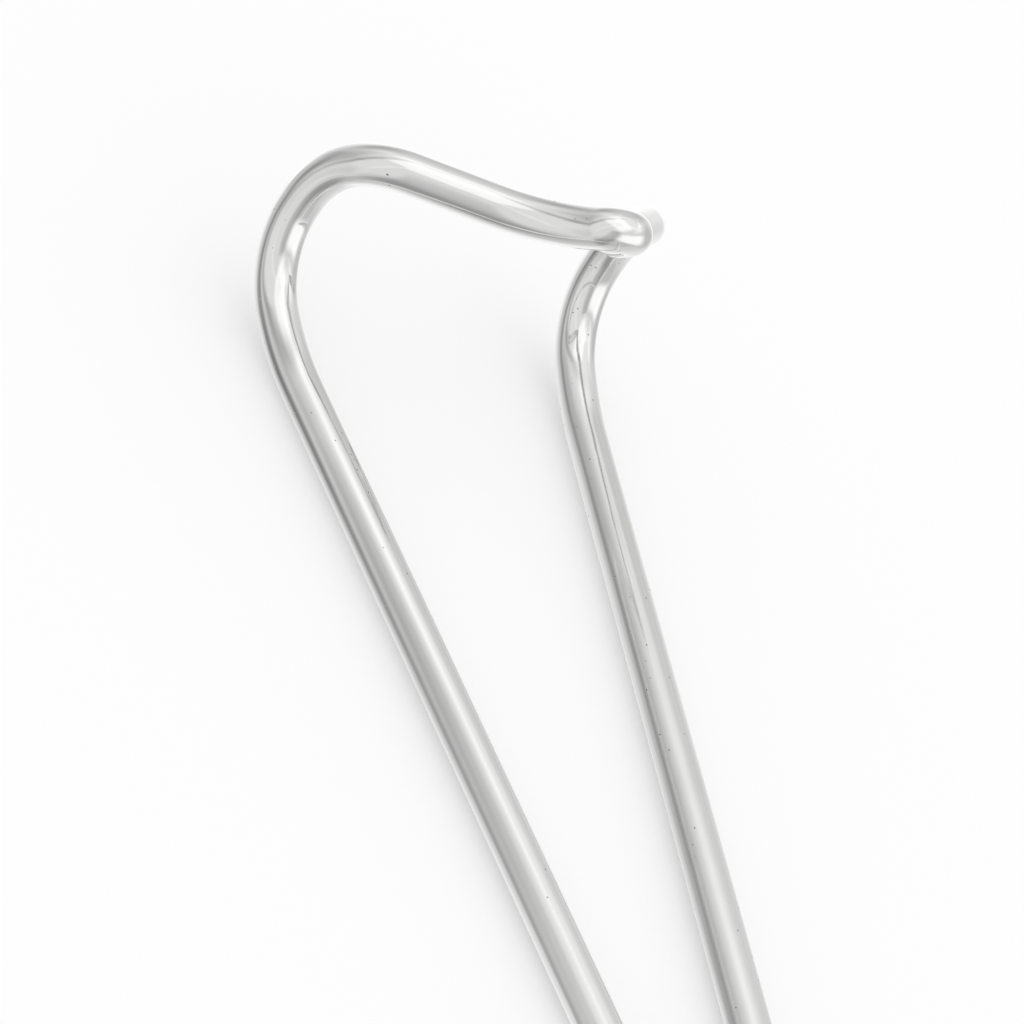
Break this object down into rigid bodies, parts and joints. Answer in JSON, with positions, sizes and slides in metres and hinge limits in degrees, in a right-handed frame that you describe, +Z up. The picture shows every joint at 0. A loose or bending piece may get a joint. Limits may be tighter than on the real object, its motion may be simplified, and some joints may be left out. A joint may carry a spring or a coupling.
{
  "type": "knife guide and retractor",
  "caption": "Round steel rod bent into a closed loop: long tapering legs, and a head that rises, leans back over the legs and narrows to a guiding nose.",
  "frame": {"origin": "middle of the footprint, on the surface the legs lie on", "axes": "+Y along the legs toward the bent head, +Z up out of the legs' plane to the nose, +X across the legs; the part is symmetric about X = 0"},
  "size_m": [0.0308, 0.0912, 0.0241],
  "materials": {
    "polished_steel": "polished, slightly satin along the legs"
  },
  "bodies": {
    "root": {"bent_rod": "polished_steel"}
  },
  "joints": []
}
